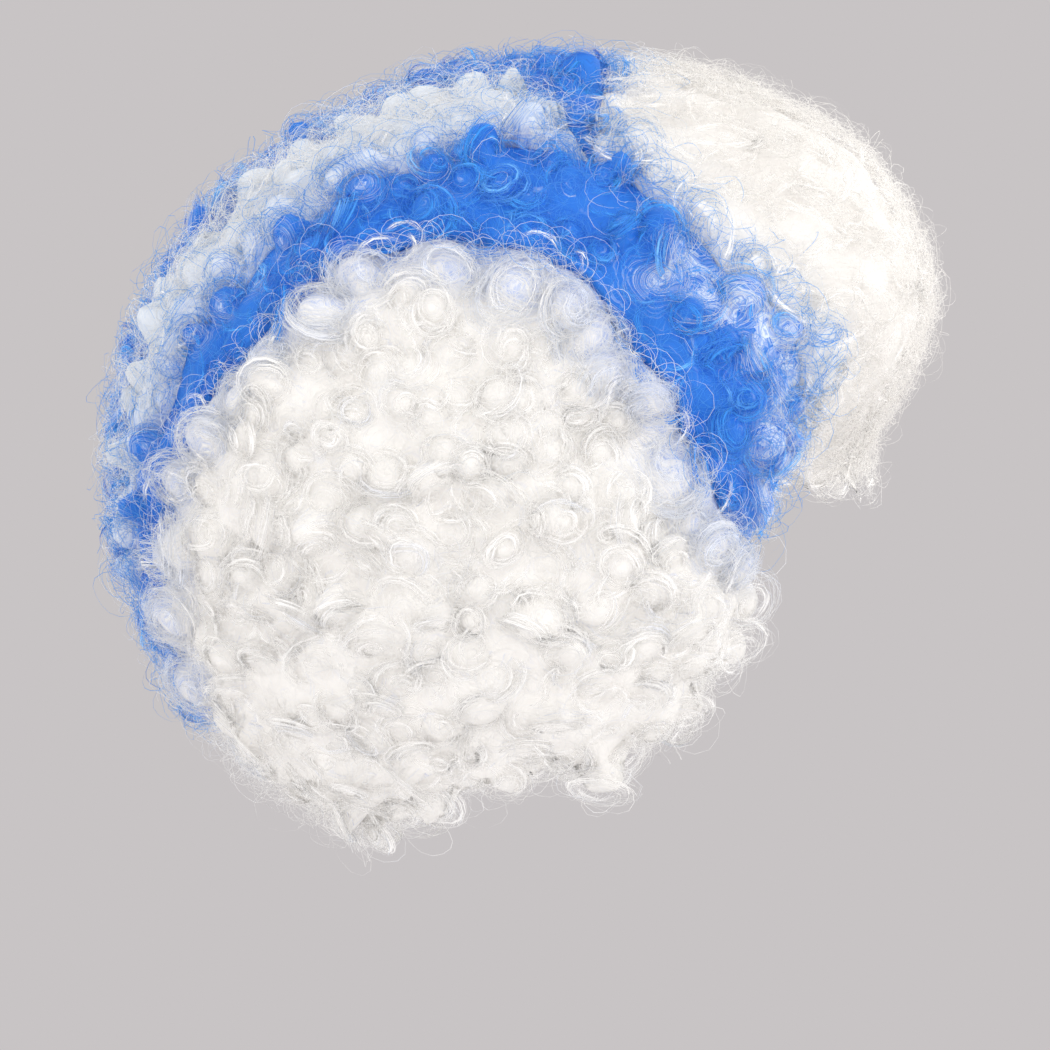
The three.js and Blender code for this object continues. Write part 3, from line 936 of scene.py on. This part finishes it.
SEAM_FUZZ = {"kind": "single", "per_mm2": 0.05, "steps": 12, "radius": (3, 8), "sweep": (110, 300),
             "stand": (0, 50), "depth": (0, 5), "width": (0.13, 0.20), "beside": BLUE_BANDS}
FRONT_FUZZ = {"kind": "single", "per_mm2": 0.15, "steps": 8, "radius": (4, 9), "sweep": (90, 200),
              "stand": (0, 40), "depth": (2, 9), "width": (0.13, 0.20), "beside": BLUE_BANDS}
INNER_FUZZ = {"kind": "single", "per_mm2": 0.075, "steps": 12, "radius": (4, 10), "sweep": (120, 300),
              "stand": (0, 35), "depth": (0, 5), "width": (0.13, 0.20)}
for number in range(len(PANELS)):
    for style in FRONT_HAIR if number == FRONT else CURLY_HAIR:
        BATCHES.append(arcs(number, **style))
BATCHES += [arcs(number, **SEAM_FUZZ) for number in WHITE_SIDES]
BATCHES += [arcs(number, **INNER_FUZZ) for number in INNER_WHITES]
BATCHES.append(arcs(FRONT, **FRONT_FUZZ))
print("strands in all:", sum(len(b["lane"]) for b in BATCHES))

# %% [markdown]
# ## Under-hair
# Below the single hairs each ringlet is a dense, soft dome. Hundreds of such domes side by side are
# the body of the panel, so the panel's own solid is taken, divided finely on its outside, and
# raised to the outermost of its own domes along each direction. A ray and an ellipsoid give that
# height. Between the domes the hair lies deeper the nearer it is to the edge of the panel, so that the
# seam between two panels becomes a valley.

# %% Measure the domes
DOME_SHARE = 0.74
NEAREST_DOMES = 12
UNDER_DEPTH = 6.0 * MM
EDGE_REACH = 0.06
SEAM_EDGE_SINK = 9.0 * MM
EDGE_SINK = 5.0 * MM

tip_spots = RINGLETS["middle"] + RINGLETS["axis"] * RINGLETS["height"][:, None]
tips = KDTree(len(tip_spots))
for number, spot in enumerate(tip_spots):
    tips.insert(Vector(spot), number)
tips.balance()


def dome_reach(d, panel):
    """How far out a panel's domes reach along directions, whose dome it is and how pale the hair is."""
    spots = surface(d)
    near = np.array([[hit[1] for hit in tips.find_n(Vector(p), NEAREST_DOMES)] for p in spots])
    axis = RINGLETS["axis"][near]
    across = (DOME_SHARE * RINGLETS["radius"][near]) ** 2
    along = (DOME_SHARE * RINGLETS["height"][near]) ** 2
    start = HUB - RINGLETS["middle"][near]
    da = (d[:, None] * axis).sum(-1)
    sa = (start * axis).sum(-1)
    a = da**2 / along + (1 - da**2) / across
    b = da * sa / along + ((d[:, None] * start).sum(-1) - da * sa) / across
    c = sa**2 / along + ((start**2).sum(-1) - sa**2) / across - 1
    root = b**2 - a * c
    own = ringlet_panel[near] == panel
    weight = (own + 1e-6) / ((tip_spots[near] - spots[:, None]) ** 2).sum(-1)
    pale = (weight * RINGLETS["paleness"][near]).sum(1) / weight.sum(1)
    met = (root > 0) & own
    reach = np.where(met, (np.sqrt(np.maximum(root, 0)) - b) / a, 0)
    best = reach.argmax(axis=1)
    rows = np.arange(len(d))
    sink = SEAM_EDGE_SINK if panel in WHITE_SIDES else EDGE_SINK
    between = look_up(form, d) - UNDER_DEPTH - sink * (1 - share_near(d, [panel], EDGE_REACH))
    return np.maximum(reach[rows, best], between), near[rows, best], pale


print("front domes:", f"{dome_reach(ringlet_way, FRONT)[0].max() / MM:.0f} mm from the hub at most")

# %% [markdown]
# The faces of the solid are welded before they are cut, so that the light runs smoothly over them.
# Narrow panels are cut finer than broad ones. The map of the domes follows the hair: it runs across
# the windings from the tip down, and along them round the axis, so that the streaks of the finish
# become fine hairs that circle each dome. Going down from the tip the map also steps to deeper lanes,
# a painted shade that keeps each dome paler at its tip and darker towards its rim. On the brushed
# tufts the streaks run level instead, and the lanes step with height.

# %% Raise the solids to the domes
WELD = 0.01 * MM
BROAD_PANELS = WHITE_SIDES + [FRONT]
BROAD_CUTS, NARROW_CUTS = 2, 3
CUT_FROM = 0.5
RAISE_FROM = 0.05
LANE_WIDTH = 6.0 * MM
RIM_SHADE_LANES = 4
TOP_LANE = PALEST * LANES
WALL_SHARE = 0.6
WALL_TOP = 0.96


def share_of_depth(points):
    """Directions of points from the hub, and where they lie from the inside (0) to the outside (1)."""
    d = unit(points - HUB)
    inside = look_up(inner, d)
    reach = np.linalg.norm(points - HUB, axis=1)
    return d, np.clip((reach - inside) / np.maximum(look_up(outer, d) - inside, 1e-6), 0, 1)


def divided(name, cuts):
    """The panel's solid with its outside cut finely: points and triangles."""
    solid = bmesh.new()
    solid.from_mesh(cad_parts[name].data)
    bmesh.ops.remove_doubles(solid, verts=solid.verts, dist=WELD)
    solid.verts.index_update()
    depth = share_of_depth(np.array([v.co for v in solid.verts]))[1]
    edges = [e for e in solid.edges if min(depth[v.index] for v in e.verts) > CUT_FROM]
    bmesh.ops.subdivide_edges(solid, edges=edges, cuts=cuts, use_grid_fill=True)
    bmesh.ops.triangulate(solid, faces=solid.faces)
    solid.verts.index_update()
    points = np.array([v.co for v in solid.verts])
    corners = np.array([[v.index for v in f.verts] for f in solid.faces])
    solid.free()
    return points, corners


def winding_map_with_painted_shade(points, corners, owner, pale):
    """Map of triangles that runs across and along the windings of the ringlet they belong to, with
    painted shade: deeper lanes away from each dome's tip.
    """
    whose = owner[corners[:, 0]]
    away = points[corners] - RINGLETS["middle"][whose][:, None]
    rise = (away * RINGLETS["axis"][whose][:, None]).sum(-1)
    x = (away * unit(RINGLETS["cross"])[whose][:, None]).sum(-1)
    y = (away * RINGLETS["other"][whose][:, None]).sum(-1)
    arc = RINGLETS["radius"][whose][:, None] * np.arctan2(np.hypot(x, y), rise)
    turn = np.arctan2(y, x)
    turn = turn[:, :1] + np.mod(turn - turn[:, :1] + math.pi, 2 * math.pi) - math.pi
    level = (away * tangents(ringlet_way)[0][whose][:, None]).sum(-1)
    brushed = is_tuft[whose][:, None]
    arc = np.where(brushed, away[..., 2] + RINGLETS["radius"][whose][:, None], arc)
    turn = np.where(brushed, level / RINGLETS["radius"][whose][:, None], turn)
    # painted shade: the lane steps from pale at a dome's tip to deep towards its rim
    first = pale[corners] * (LANES - RIM_SHADE_LANES)
    lane = first + np.abs(RIM_SHADE_LANES - np.clip(arc / LANE_WIDTH, 0, 2 * RIM_SHADE_LANES))
    lane = TOP_LANE - np.abs(TOP_LANE - lane)
    return np.stack([lane / LANES, 0.5 + turn / (4 * math.pi)], axis=-1)


def under_hair(name, finish, cuts):
    """One piece of dense hair: a panel's solid, raised to its domes."""
    points, corners = divided(name, cuts)
    d, depth = share_of_depth(points)
    inside = look_up(inner, d)
    reach, owner, pale = dome_reach(d, PANELS.index(name))
    height = np.interp(depth, (0, WALL_SHARE, 1), (0, WALL_TOP, 1))
    raised = HUB + d * (inside + np.maximum(reach - inside, 0) * height)[:, None]
    points = np.where(depth[:, None] > RAISE_FROM, raised, points)
    mesh = bpy.data.meshes.new(name + "_under_hair")
    mesh.from_pydata(points.tolist(), [], corners.tolist())
    mesh.materials.append(finish)
    uv = winding_map_with_painted_shade(points, corners, owner, pale).astype(np.float32)
    mesh.uv_layers.new(name="OFBake").uv.foreach_set("vector", uv.ravel())
    mesh.shade_smooth()
    piece = bpy.data.objects.new(name + "_under_hair", mesh)
    scene.collection.objects.link(piece)
    return piece


# %% [markdown]
# ## Pieces
# Every panel becomes three pieces that ride on the one body: the dense under-hair, which stands for
# the panel's solid, the locks over it and the single hairs outside.

# %% Assemble the panels
total = 0
for number, name in enumerate(PANELS):
    dye = "blue_hair" if "blue" in name else "white_hair"
    look = "brushed_white" if number == FRONT else dye
    density = "blended" if number in INNER_WHITES else "dense"
    cuts = BROAD_CUTS if number in BROAD_PANELS else NARROW_CUTS
    pieces = [under_hair(name, FINISHES[look, density], cuts)]
    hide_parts(name)
    for kind in ("lock", "single"):
        parts = [ribbons(b, b["panel"] == number) for b in BATCHES if b["kind"] == kind]
        parts = [part for part in parts if len(part["faces"])]
        title = name + ("_locks" if kind == "lock" else "_hairs")
        pieces.append(build_piece(title, parts, FINISHES[look, kind]))
    for piece in pieces:
        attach(piece, "root")
    counts = [sum(len(p.vertices) - 2 for p in piece.data.polygons) for piece in pieces]
    total += sum(counts)
    print(f"{name}: triangles of under-hair, locks and hairs: {counts}")
print("triangles in all:", total)
